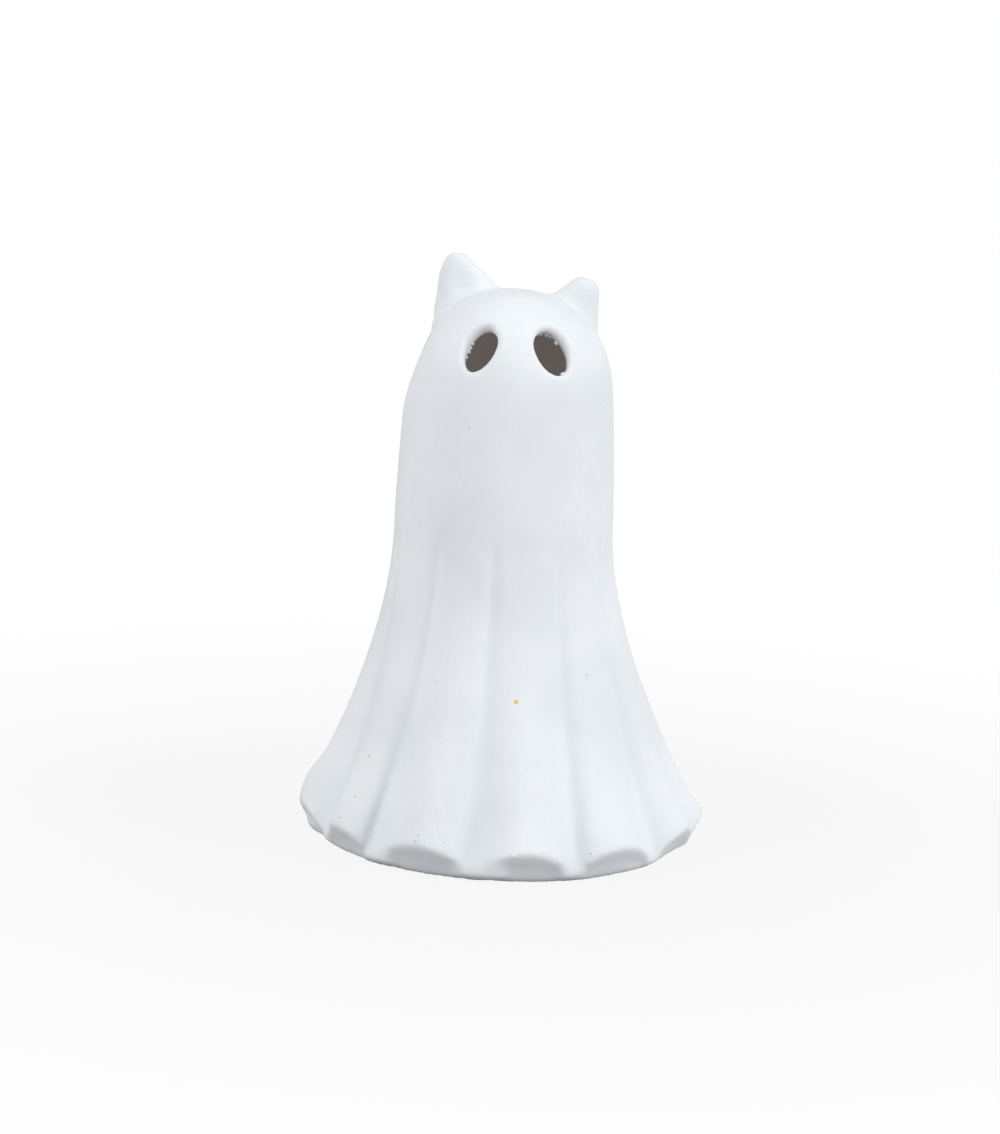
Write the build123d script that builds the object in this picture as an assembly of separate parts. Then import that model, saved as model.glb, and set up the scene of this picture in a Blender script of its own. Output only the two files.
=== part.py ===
from build123d import *
import os
from math import cos, log, radians, sin, sqrt

# Hollow ceramic ghost that stands over an electric tealight.
# Millimetres, +Z up, the face looks along -Y, the origin is on the table under the crown.

# Ghost body: heights from one level to the next, radii of the fold crests,
# and the sideways lean of the waist and head over the foot
waist_height = 80.0
brow_rise = 32.0
crown_rise = 29.5
crown_fullness = 2.28
crown_turns = (25, 45, 65)
brow_radius = 26.6
waist_radius = 27.9
flare_radius = 56.8
flare_power = 1.68
head_lean = -2.2
body_wall = 4.5

# Folds of the drape: each valley runs from an angle at the waist to an angle at the hem,
# counted from the front towards +X, and each fold has its crest at a share of its width
fold_depth = 8.8
fold_power = 1.85
fold_crease = 0.4
inner_fold_share = 0.5
valleys_at_waist = (-72, -35, -4, 31, 59, 86, 111, 136, 162, 188, 213, 238, 263)
valleys_at_hem = (-66, -41, -7, 24, 55, 82, 108, 134, 161, 188, 214, 240, 266)
fold_crests = (0.56, 0.52, 0.48, 0.43, 0.5, 0.5, 0.54, 0.48, 0.45, 0.54, 0.5, 0.46, 0.5)
fold_steps = (0, 0.1, 0.25, 0.5, 0.75, 0.9, 1)
fold_levels = (0, 0.1, 0.25, 0.45, 0.7, 1)

# Hem: a bevel undercuts the fold crests from the rounded hem down to the foot ring
hem_height = 8.6
hem_undercut = 7.4
hem_rounding = 2.0
hem_clearance = 1.2
foot_rounding = 0.8

# Eyes: slanted oval holes a little off the middle of the face, whose bores look
# nearly straight ahead and tilt up
eye_drop = 12.7
eye_azimuth = 21.8
eye_half_length = 6.0
left_eye_half_width = 3.1
right_eye_half_width = 3.8
eye_slant = 28
eye_rim_rounding = 0.8
eye_bore_azimuth = 2
eye_bore_elevation = 18
eye_cut_walls = 3
face_turn = 3.6

# Ears: the hand-made pair differs, so each has its own drop, reach and rise
ear_setback = 4.5
ear_half_thickness = 5.0
ear_sink = 4.0
ear_tip_round_share = 0.85
ear_scoop_width_share = 0.7
ear_scoop_depth_share = 0.4
left_ear_drop = 13.0
left_ear_root_inset = 0.4
left_ear_inner_reach = 2.5
left_ear_tip_reach = 15.1
left_ear_tip_radius = 2.3
left_ear_rise = 8.3
right_ear_drop = 14.0
right_ear_root_inset = -0.4
right_ear_inner_reach = 8.5
right_ear_tip_reach = 18.9
right_ear_tip_radius = 3.1
right_ear_rise = 3.2

# Coin cell and its well
cell_radius = 10.0
cell_thickness = 3.2
cell_cap_radius = 8.6
cell_cap_height = 0.3
cell_clearance = 0.3
contact_space = 1.0
well_wall = 1.2
well_roof = 1.2

# Base plate and battery door
plate_recess = 1.5
plate_thickness = 1.8
plate_clearance = 0.1
plate_margin = 1.3
door_clearance = 0.3
hinge_offset = 1.9
hinge_radius = 0.8
hinge_length = 9.0
hinge_gap = 0.3
hinge_pin_radius = 0.45
hinge_pin_length = 1.5
hinge_pin_clearance = 0.05
hinge_end_clearance = 0.2
thumb_radius = 5.0
thumb_depth = 0.7
thumb_offset = 5.0

# Slide switch
knob_length = 3.6
knob_width = 2.2
knob_travel = 2.2
knob_clearance = 0.2
knob_proud = 0.9
knob_flange_width = 0.7
knob_flange_thickness = 1.0
knob_peg_size = 0.9
knob_peg_height = 2.2
knob_rib_count = 3
knob_rib_depth = 0.25
knob_gap = 0.9

# Contact strips
strip_thickness = 0.3
strip_width = 4.0
strip_clearance = 0.15
strip_tail = 1.0
leaf_flat_length = 5.5
leaf_spring_length = 4.0
leaf_foot_length = 1.5

# Lamp and its leads
lamp_radius = 2.5
lamp_flange_radius = 2.9
lamp_flange_thickness = 1.0
lamp_height = 8.6
lamp_post_height = 1.2
lead_radius = 0.25
lead_pitch = 2.54
lead_clearance = 0.15

# Tealight cup and flame lens
cup_height = 17.0
cup_wall = 1.2
cup_ledge = 0.8
cup_deck = 1.3
cup_lip = 1.6
cup_edge_rounding = 0.9
pool_depth = 1.8
pool_dish_share = 0.25
flame_root_radius = 5.4
flame_height = 20.5
flame_belly_share = 0.6
flame_point_share = 0.22
flame_wall = 0.9
flame_tip_wall = 2.5
flame_flange_width = 1.8
flame_flange_thickness = 1.0
flame_clearance = 0.15

# Levels and radii that follow from the sizes above
brow_height = waist_height + brow_rise
crown_height = brow_height + crown_rise
plate_top = plate_recess + plate_thickness
cell_top = plate_top + cell_thickness
roof_bottom = cell_top + contact_space
roof_top = roof_bottom + well_roof
lamp_seat = roof_top + lamp_post_height
well_radius = cell_radius + cell_clearance
well_outer_radius = well_radius + well_wall
knob_flange_half_width = knob_width / 2 + knob_flange_width
knob_offset = well_outer_radius + knob_gap + knob_flange_half_width
plate_radius = knob_offset + knob_flange_half_width + plate_margin + cup_ledge
cup_seat_radius = plate_radius + plate_clearance
cup_radius = cup_seat_radius + cup_wall
deck_top = cup_height - pool_depth
deck_bottom = deck_top - cup_deck
hinge_y = well_radius + hinge_offset
hinge_z = plate_recess + plate_thickness / 2


def turned(outline):
    """Solid of revolution about the upright axis from a closed outline of radius and height."""
    return revolve(Plane.XZ * make_face(outline), Axis.Z)


def block(low, high):
    """Box between two corners."""
    size = Vector(*high) - Vector(*low)
    return Pos(*low) * Box(*size, align=(Align.MIN, Align.MIN, Align.MIN))


def disc(radius, low, high, x=0, y=0):
    """Upright cylinder between two heights."""
    return Pos(x, y, low) * Cylinder(radius, high - low, align=(Align.CENTER, Align.CENTER, Align.MIN))


# Ghost


def dome_radius(height):
    """Outer radius of the head at a height above the brow."""
    rise = (height - brow_height) / crown_rise
    return brow_radius * (1 - rise**crown_fullness) ** (1 / crown_fullness)


def dome_height(radius):
    """Outer height of the head at a radius from the axis."""
    share = radius / brow_radius
    return brow_height + crown_rise * (1 - share**crown_fullness) ** (1 / crown_fullness)


def crest_radius(height):
    """Radius of the fold crests at a height below the waist."""
    return waist_radius + (flare_radius - waist_radius) * (1 - height / waist_height) ** flare_power


def valley_depth(height):
    """Depth of the fold valleys below the crests at a height."""
    return fold_depth * (1 - height / waist_height) ** fold_power


def fold_swell(share, crest):
    """Height of a fold over its width, from 0 in a valley to 1 on the crest."""
    even = share ** (log(0.5) / log(crest))
    rise = 4 * even * (1 - even)
    return (sqrt(rise**2 + fold_crease**2) - fold_crease) / (sqrt(1 + fold_crease**2) - fold_crease)


def fold_edge(start, end, crest, height, inset, swell_share):
    """Outline of one fold from valley to valley at one height."""
    points = []
    for share in fold_steps:
        angle = radians(start + (end - start) * share)
        drop = valley_depth(height) * (1 - swell_share * fold_swell(share, crest))
        radius = crest_radius(height) - drop - inset
        lean = head_lean * height / waist_height
        points.append((lean + radius * sin(angle), -radius * cos(angle), height))
    if height == waist_height:
        return Edge.make_three_point_arc(points[0], points[len(points) // 2], points[-1])
    ends = [(cos(radians(angle)), sin(radians(angle)), 0) for angle in (start, end)]
    return Edge.make_spline(points, tangents=ends)


def drape(inset, swell_share):
    """Folded skirt from the table up to the round waist, with one face for each fold."""
    sections = []
    for level in fold_levels:
        valleys = [hem + (waist - hem) * level for hem, waist in zip(valleys_at_hem, valleys_at_waist)]
        valleys.append(valleys[0] + 360)
        folds = zip(valleys, valleys[1:], fold_crests)
        edges = [fold_edge(*fold, waist_height * level, inset, swell_share) for fold in folds]
        sections.append(Face(Wire(edges)))
    return loft(sections)


def head(inset):
    """Round head from the waist over the brow to the crown."""
    points = [(waist_radius - inset, waist_height), (brow_radius - inset, brow_height)]
    for turn in crown_turns:
        out = cos(radians(turn)) ** (2 / crown_fullness)
        up = sin(radians(turn)) ** (2 / crown_fullness)
        points.append(((brow_radius - inset) * out, brow_height + (crown_rise - inset) * up))
    points.append((0, crown_height - inset))
    side = Spline(*points, tangents=[(0, 1), (-1, 0)])
    core = Polyline(points[-1], (0, waist_height), points[0])
    return turned(Curve() + [side, core])


def ear(side, drop, root_inset, inner_reach, tip_reach, tip_radius, rise):
    """Flattened cone with a hollow front, rooted in the dome."""
    outer = Vector(dome_radius(crown_height - drop) - root_inset, 0, crown_height - drop)
    inner = Vector(inner_reach, 0, dome_height(inner_reach))
    run = outer - inner
    middle = (outer + inner) * 0.5
    root_centre = Vector(side * middle.X, ear_setback, middle.Z)
    tip_centre = Vector(side * tip_reach, ear_setback, crown_height + rise)
    lean = tip_centre - root_centre
    root = Plane(root_centre, x_dir=(run.X, 0, side * run.Z), z_dir=(-side * run.Z, 0, run.X))
    root = root.offset(-ear_sink)
    tip = Plane(tip_centre, x_dir=(lean.Z, 0, -lean.X), z_dir=lean)
    half_width = run.length / 2
    cone = loft([
        (root * Ellipse(half_width, ear_half_thickness)).face(),
        (tip * Circle(tip_radius)).face(),
    ])
    cone = fillet(cone.faces().sort_by(Axis.Z)[-1].edges(), tip_radius * ear_tip_round_share)
    scoop_root = Pos(0, -ear_half_thickness) * Ellipse(
        half_width * ear_scoop_width_share, ear_half_thickness * ear_scoop_depth_share
    )
    tip_scoop_depth = tip_radius * ear_scoop_depth_share
    scoop_tip = Pos(0, -tip_radius - tip_scoop_depth) * Ellipse(
        tip_radius * ear_scoop_width_share, tip_scoop_depth
    )
    scoop = loft([(root * scoop_root).face(), (tip * scoop_tip).face()])
    return cone - scoop


def undercut(inset):
    """Ring under the fold crests, with a bevel that rises from the foot to the rounded hem."""
    hem = (crest_radius(hem_height) - inset, hem_height)
    foot = (hem[0] - hem_undercut, 0)
    top = 2 * hem_height
    clear = (crest_radius(top) + hem_clearance, top)
    reach = flare_radius + hem_undercut
    ring = make_face(Polyline(foot, hem, clear, (reach, top), (reach, 0), close=True))
    ring = fillet(ring.vertices().sort_by_distance(hem)[0], hem_rounding)
    return revolve(Plane.XZ * ring, Axis.Z)


def eye_hole(side, half_width):
    """Slanted oval cutter from the brow along its bore."""
    radius = dome_radius(crown_height - eye_drop)
    turn = radians(side * eye_azimuth + face_turn)
    centre = (radius * sin(turn), -radius * cos(turn), crown_height - eye_drop)
    bore_turn = radians(side * eye_bore_azimuth + face_turn)
    lift = radians(eye_bore_elevation)
    outward = (sin(bore_turn) * cos(lift), -cos(bore_turn) * cos(lift), sin(lift))
    brow = Plane(centre, x_dir=(cos(bore_turn), sin(bore_turn), 0), z_dir=outward)
    oval = brow * Rot(0, 0, side * eye_slant) * Ellipse(half_width, eye_half_length)
    return extrude(oval, eye_cut_walls * body_wall, both=True)


def make_ghost_shell():
    """Slip-cast body: draped outside, softer folds inside, bevelled hem, ears and eye holes."""
    leaning = Pos(head_lean, 0, 0)
    body = drape(0, 1) + leaning * head(0) - undercut(0)
    left_ear = ear(
        -1,
        left_ear_drop,
        left_ear_root_inset,
        left_ear_inner_reach,
        left_ear_tip_reach,
        left_ear_tip_radius,
        left_ear_rise,
    )
    right_ear = ear(
        1,
        right_ear_drop,
        right_ear_root_inset,
        right_ear_inner_reach,
        right_ear_tip_reach,
        right_ear_tip_radius,
        right_ear_rise,
    )
    body = body + leaning * left_ear + leaning * right_ear
    bevel_inset = body_wall * sqrt(1 + (hem_undercut / hem_height) ** 2)
    cavity = drape(body_wall, inner_fold_share) + leaning * head(body_wall) - undercut(bevel_inset)
    body = body - cavity
    body = fillet(body.faces().sort_by(Axis.Z)[0].edges(), foot_rounding)
    whole_edges = body.edges()
    body = body - leaning * eye_hole(-1, left_eye_half_width)
    body = body - leaning * eye_hole(1, right_eye_half_width)
    eye_rims = (body.edges() - whole_edges).sort_by(Axis.Y)[:2]
    return fillet(eye_rims, eye_rim_rounding)


# Tealight


def make_candle_cup():
    """Round cup with a dished wax-like deck, a flame hole and a ledge for the base plate."""
    hole_radius = flame_root_radius + flame_clearance
    lip_radius = cup_radius - cup_lip
    bore_radius = cup_seat_radius - cup_ledge
    dish_middle = ((lip_radius + hole_radius) / 2, deck_top + pool_depth * pool_dish_share)
    dish = ThreePointArc((lip_radius, cup_height), dish_middle, (hole_radius, deck_top))
    rest = Polyline(
        (hole_radius, deck_top),
        (hole_radius, deck_bottom),
        (bore_radius, deck_bottom),
        (bore_radius, plate_top),
        (cup_seat_radius, plate_top),
        (cup_seat_radius, 0),
        (cup_radius, 0),
        (cup_radius, cup_height),
        (lip_radius, cup_height),
    )
    cup = turned(Curve() + [dish, rest])
    rim = cup.edges().filter_by(GeomType.CIRCLE).group_by(Axis.Z)[-1].sort_by(SortBy.RADIUS)[-1]
    return fillet(rim, cup_edge_rounding)


def flame_curve(radius, bottom, top):
    """Teardrop side from an upright foot to a point on the axis."""
    reach = top - bottom
    belly = (radius, bottom + reach * flame_belly_share)
    point = (radius * flame_point_share, top - reach * flame_point_share)
    return Bezier((radius, bottom), belly, point, (0, top))


def make_flame_lens():
    """Hollow translucent flame with a flange that is trapped under the deck."""
    tip = deck_top + flame_height
    flange_radius = flame_root_radius + flame_flange_width
    flange_bottom = deck_bottom - flame_flange_thickness
    bore_radius = flame_root_radius - flame_wall
    outside = flame_curve(flame_root_radius, deck_top, tip)
    inside = flame_curve(bore_radius, deck_top, tip - flame_tip_wall)
    axis = Line((0, tip), (0, tip - flame_tip_wall))
    foot = Polyline(
        (bore_radius, deck_top),
        (bore_radius, flange_bottom),
        (flange_radius, flange_bottom),
        (flange_radius, deck_bottom),
        (flame_root_radius, deck_bottom),
        (flame_root_radius, deck_top),
    )
    return turned(Curve() + [outside, axis, inside, foot])


def make_led_bulb():
    """Domed lamp with a flange at its foot."""
    top = lamp_seat + lamp_height
    shoulder = top - lamp_radius
    flange_top = lamp_seat + lamp_flange_thickness
    dome = RadiusArc((0, top), (lamp_radius, shoulder), lamp_radius)
    rest = Polyline(
        (lamp_radius, shoulder),
        (lamp_radius, flange_top),
        (lamp_flange_radius, flange_top),
        (lamp_flange_radius, lamp_seat),
        (0, lamp_seat),
        (0, top),
    )
    return turned(Curve() + [dome, rest])


def make_led_leads():
    """Two straight legs: the front one stands on the outer strip, the back one on the leaf."""
    front = disc(lead_radius, roof_top + strip_thickness, lamp_seat, y=-lead_pitch / 2)
    back = disc(lead_radius, roof_bottom, lamp_seat, y=lead_pitch / 2)
    return Compound([front, back])


def make_base_plate():
    """Floor of the tealight with the roofed cell well, lamp post, switch slot and hinge sockets."""
    plate = disc(plate_radius, plate_recess, plate_top)
    plate = plate + disc(well_outer_radius, plate_recess, roof_top)
    plate = plate + disc(lamp_flange_radius, roof_top, lamp_seat)
    plate = plate - disc(well_radius, plate_recess, roof_bottom)
    slot_x = (knob_length + knob_travel) / 2 + knob_clearance
    slot_y = knob_width / 2 + knob_clearance
    slot_low = (-slot_x, -knob_offset - slot_y, plate_recess)
    plate = plate - block(slot_low, (slot_x, slot_y - knob_offset, plate_top))
    notch_x = hinge_length / 2 + hinge_end_clearance
    notch_back = hinge_y + hinge_radius + hinge_gap
    plate = plate - block((-notch_x, 0, plate_recess), (notch_x, notch_back, plate_top))
    socket_reach = notch_x + hinge_pin_length
    socket = Cylinder(hinge_pin_radius + hinge_pin_clearance, 2 * socket_reach, rotation=(0, 90, 0))
    plate = plate - Pos(0, hinge_y, hinge_z) * socket
    strip_x = strip_width / 2 + strip_clearance
    strip_end = lead_pitch / 2 - strip_tail - strip_clearance
    strip_low = (-strip_x, -lamp_flange_radius, roof_top)
    plate = plate - block(strip_low, (strip_x, -strip_end, roof_top + strip_thickness))
    plate = plate - block((-strip_x, -well_outer_radius, plate_top), (strip_x, 0, cell_top))
    for y in (-lead_pitch / 2, lead_pitch / 2):
        plate = plate - disc(lead_radius + lead_clearance, roof_bottom, lamp_seat, y=y)
    return plate


def make_coin_cell():
    """Button cell with its raised cap upwards."""
    can = disc(cell_radius, plate_top, cell_top - cell_cap_height)
    return can + disc(cell_cap_radius, cell_top - cell_cap_height, cell_top)


def make_positive_contact():
    """Strip from the front lead over the roof and down to the side of the cell."""
    leg = well_outer_radius + strip_clearance
    foot_level = plate_top + cell_thickness / 2
    run = Polyline(
        (-(lead_pitch / 2 - strip_tail), roof_top),
        (-leg, roof_top),
        (-leg, foot_level),
        (-cell_radius, foot_level),
    )
    ribbon = offset(run, strip_thickness, side=Side.RIGHT)
    return extrude(Plane.YZ * make_face(ribbon), strip_width / 2, both=True)


def make_negative_contact():
    """Leaf spring from the back lead under the roof down to the cell's cap."""
    flat_start = lead_pitch / 2 - strip_tail
    flat_end = flat_start + leaf_flat_length
    spring_end = flat_end - leaf_flat_length - leaf_spring_length
    run = Polyline(
        (flat_end, roof_bottom),
        (flat_start, roof_bottom),
        (spring_end, cell_top + strip_thickness),
        (spring_end - leaf_foot_length, cell_top + strip_thickness),
    )
    ribbon = offset(run, strip_thickness, side=Side.LEFT)
    return extrude(Plane.YZ * make_face(ribbon), strip_width / 2, both=True)


def make_switch_knob():
    """Ribbed slider that hangs through the slot and carries a peg behind the outer strip."""
    x = -knob_travel / 2
    flange_bottom = plate_top + knob_clearance
    flange_top = flange_bottom + knob_flange_thickness
    half_length = knob_length / 2
    half_width = knob_width / 2
    tip = plate_recess - knob_proud
    grip_low = (x - half_length, -knob_offset - half_width, tip)
    knob = block(grip_low, (x + half_length, half_width - knob_offset, flange_top))
    flange_x = half_length + knob_flange_width
    flange_low = (x - flange_x, -knob_offset - knob_flange_half_width, flange_bottom)
    flange_high = (x + flange_x, knob_flange_half_width - knob_offset, flange_top)
    knob = knob + block(flange_low, flange_high)
    peg_y = knob_flange_half_width - knob_offset
    peg_low = (x - half_length, peg_y - knob_peg_size, flange_top)
    knob = knob + block(peg_low, (x + half_length, peg_y, flange_top + knob_peg_height))
    pitch = knob_length / (knob_rib_count + 1)
    for number in range(knob_rib_count):
        groove_x = x - half_length + pitch * (number + 1)
        groove = Cylinder(knob_rib_depth, knob_width, rotation=(90, 0, 0))
        knob = knob - Pos(groove_x, -knob_offset, tip) * groove
    return knob


def make_battery_door():
    """Round flap under the cell, with a tongue, a hinge barrel, stub pins and a thumb hollow."""
    door_radius = well_radius - door_clearance
    door = disc(door_radius, plate_recess, plate_top)
    tongue_x = hinge_length / 2
    door = door + block((-tongue_x, 0, plate_recess), (tongue_x, hinge_y, hinge_z))
    barrel = Cylinder(hinge_radius, hinge_length, rotation=(0, 90, 0))
    pins = Cylinder(hinge_pin_radius, hinge_length + 2 * hinge_pin_length, rotation=(0, 90, 0))
    door = door + Pos(0, hinge_y, hinge_z) * barrel + Pos(0, hinge_y, hinge_z) * pins
    thumb_drop = thumb_radius - thumb_depth
    return door - Pos(0, -thumb_offset, plate_recess - thumb_drop) * Sphere(thumb_radius)


pieces = {
    "ghost_shell": make_ghost_shell(),
    "candle_cup": make_candle_cup(),
    "flame_lens": make_flame_lens(),
    "led_bulb": make_led_bulb(),
    "led_leads": make_led_leads(),
    "base_plate": make_base_plate(),
    "coin_cell": make_coin_cell(),
    "positive_contact": make_positive_contact(),
    "negative_contact": make_negative_contact(),
    "switch_knob": make_switch_knob(),
    "battery_door": make_battery_door(),
}

os.makedirs("parts", exist_ok=True)
for name, piece in pieces.items():
    export_step(piece, f"parts/{name}.step")
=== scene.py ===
import contextlib
import functools
import logging
import math
from collections.abc import Iterator, Sequence
from dataclasses import dataclass
from enum import Enum

import bpy
import numpy as np
from bpy.types import Material, Node, NodeSocket, NodeTree, Object
from mathutils import Matrix, Vector


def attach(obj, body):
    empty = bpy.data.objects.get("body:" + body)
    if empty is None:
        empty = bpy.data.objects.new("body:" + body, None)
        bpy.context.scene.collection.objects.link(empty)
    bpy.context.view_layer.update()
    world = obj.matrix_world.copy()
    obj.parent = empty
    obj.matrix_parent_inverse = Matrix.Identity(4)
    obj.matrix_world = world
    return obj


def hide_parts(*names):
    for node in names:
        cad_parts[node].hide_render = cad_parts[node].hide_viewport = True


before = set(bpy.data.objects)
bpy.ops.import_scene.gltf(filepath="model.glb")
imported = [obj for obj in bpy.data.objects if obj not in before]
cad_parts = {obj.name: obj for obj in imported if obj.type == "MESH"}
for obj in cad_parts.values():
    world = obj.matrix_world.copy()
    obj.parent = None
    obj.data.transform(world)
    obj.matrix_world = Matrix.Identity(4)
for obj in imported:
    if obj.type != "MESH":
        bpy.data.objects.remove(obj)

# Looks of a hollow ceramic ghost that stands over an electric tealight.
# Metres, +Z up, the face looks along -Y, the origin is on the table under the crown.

log = logging.getLogger("ghost")
MM = 0.001
MERGE_GAP = 0.002 * MM
TINY = 1e-6
Colour = tuple[float, float, float]
Range = tuple[float, float]
# Metres along X, Y and Z, and a radius and a height in metres
Point = tuple[float, ...]
Ring = tuple[float, ...]


class Side(Enum):
    """Side of the face as the viewer sees it."""

    LEFT = -1
    RIGHT = 1


class BrushLines(Enum):
    """Run of the fine lines on a metal."""

    STRAIGHT = "straight"
    CIRCULAR = "circular"


# Modelling helpers


def mm(*values: float) -> tuple[float, ...]:
    """Values in millimetres as metres."""
    return tuple(value * MM for value in values)


def heading(turn: float, rise: float) -> Vector:
    """Unit way turned from the front and raised from level, in degrees."""
    aside, up = math.radians(turn), math.radians(rise)
    return Vector((math.sin(aside) * math.cos(up), -math.cos(aside) * math.cos(up), math.sin(up)))


def pick(obj: Object) -> None:
    """Leave one object selected and active.

    Args:
        obj: The object to pick.
    """
    bpy.ops.object.select_all(action="DESELECT")
    obj.select_set(True)
    bpy.context.view_layer.objects.active = obj


@contextlib.contextmanager
def editing(obj: Object) -> Iterator[None]:
    """Edit mode on one object with its whole mesh selected.

    Args:
        obj: The object to work on.

    Returns:
        A context that goes back to object mode at its end.
    """
    pick(obj)
    bpy.ops.object.mode_set(mode="EDIT")
    bpy.ops.mesh.select_all(action="SELECT")
    try:
        yield
    finally:
        bpy.ops.object.mode_set(mode="OBJECT")


def finish_with(obj: Object, kind: str, **settings: object) -> None:
    """Add a modifier, set it and apply it.

    Args:
        obj: The object to shape.
        kind: Blender's name of the modifier type.
        **settings: Values for the modifier's own fields.
    """
    pick(obj)
    modifier = obj.modifiers.new(kind.lower(), kind)
    for key, value in settings.items():
        setattr(modifier, key, value)
    bpy.ops.object.modifier_apply(modifier=modifier.name)


def merged_copy(node: str, name: str) -> Object:
    """Copy a CAD node and merge its loose triangles.

    Args:
        node: Name of the CAD node.
        name: Name of the new piece.

    Returns:
        The new object, with its place in its mesh.
    """
    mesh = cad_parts[node].data.copy()
    mesh.name = name
    mesh.materials.clear()
    obj = bpy.data.objects.new(name, mesh)
    bpy.context.scene.collection.objects.link(obj)
    with editing(obj):
        bpy.ops.mesh.remove_doubles(threshold=MERGE_GAP)
        bpy.ops.mesh.customdata_custom_splitnormals_clear()
    return obj


def turned(name: str, profile: Sequence[Ring], segments: int) -> Object:
    """Turn a closed profile about the upright axis, ring by ring.

    Args:
        name: Name of the new piece.
        profile: Radius and height of each ring in metres, in order round the wall.
        segments: Number of sides of each ring.

    Returns:
        The new object, with its normals outwards.
    """
    radius, height = profile[0]
    bpy.ops.mesh.primitive_circle_add(vertices=segments, radius=radius, location=(0, 0, height))
    obj = bpy.context.object
    obj.name = name
    obj.data.name = name
    bpy.ops.object.transform_apply(location=True, rotation=True, scale=True)
    with editing(obj):
        for next_radius, next_height in list(profile[1:]) + [profile[0]]:
            rise = (0, 0, next_height - height)
            bpy.ops.mesh.extrude_edges_move(TRANSFORM_OT_translate={"value": rise})
            share = next_radius / radius
            bpy.ops.transform.resize(value=(share, share, 1), center_override=(0, 0, next_height))
            radius, height = next_radius, next_height
        bpy.ops.mesh.select_all(action="SELECT")
        bpy.ops.mesh.remove_doubles(threshold=MERGE_GAP)
        bpy.ops.mesh.normals_make_consistent(inside=False)
    return obj


def run(knots: Sequence[Ring], steps: int, share: float = 1.0) -> list[Ring]:
    """Smooth run of profile points.

    Args:
        knots: First point, the points that the run bends towards, and last point.
        steps: Number of spans.
        share: Share of the run that is kept.

    Returns:
        The points of the run, with both ends.
    """
    last = len(knots) - 1
    points = []
    for step in range(steps + 1):
        t = share * step / steps
        weights = [math.comb(last, i) * t**i * (1 - t) ** (last - i) for i in range(last + 1)]
        points.append(tuple(sum(w * knot[i] for w, knot in zip(weights, knots)) for i in (0, 1)))
    return points


def points_of(obj: Object, field: str = "co") -> np.ndarray:
    """Vertex places of an object, or another field of its vertices.

    Args:
        obj: The object to read.
        field: Blender's name of the field.

    Returns:
        One row for each vertex.
    """
    rows = np.empty(len(obj.data.vertices) * 3)
    obj.data.vertices.foreach_get(field, rows)
    return rows.reshape(-1, 3)


def smooth_step(share: np.ndarray) -> np.ndarray:
    """Ease a share from 0 to 1 softly at both ends."""
    held = np.clip(share, 0, 1)
    return held**2 * (3 - 2 * held)


def seen_straight(tree: NodeTree) -> NodeSocket:
    """Tell the rays that see a surface straight, in a mirror or through glass.

    Args:
        tree: The node tree to add to.

    Returns:
        The socket that is 1 for such rays.
    """
    path = tree.nodes.new("ShaderNodeLightPath")
    seen = path.outputs["Is Camera Ray"]
    for name in ("Is Glossy Ray", "Is Transmission Ray"):
        either = tree.nodes.new("ShaderNodeMath")
        either.operation = "MAXIMUM"
        tree.links.new(seen, either.inputs[0])
        tree.links.new(path.outputs[name], either.inputs[1])
        seen = either.outputs["Value"]
    return seen


def place_points(obj: Object, rows: np.ndarray) -> None:
    """Write vertex places back into an object."""
    obj.data.vertices.foreach_set("co", rows.reshape(-1))
    obj.data.update()


# Finishes

Inputs = dict[str | int, object]
# Places of the colour sockets on a Mix node, whose names repeat
COLOUR_A = 6
COLOUR_B = 7
COLOUR_RESULT = 2
# Values between which most of a cloudy pattern lies
NOISE_RANGE = (0.3, 0.7)


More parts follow.
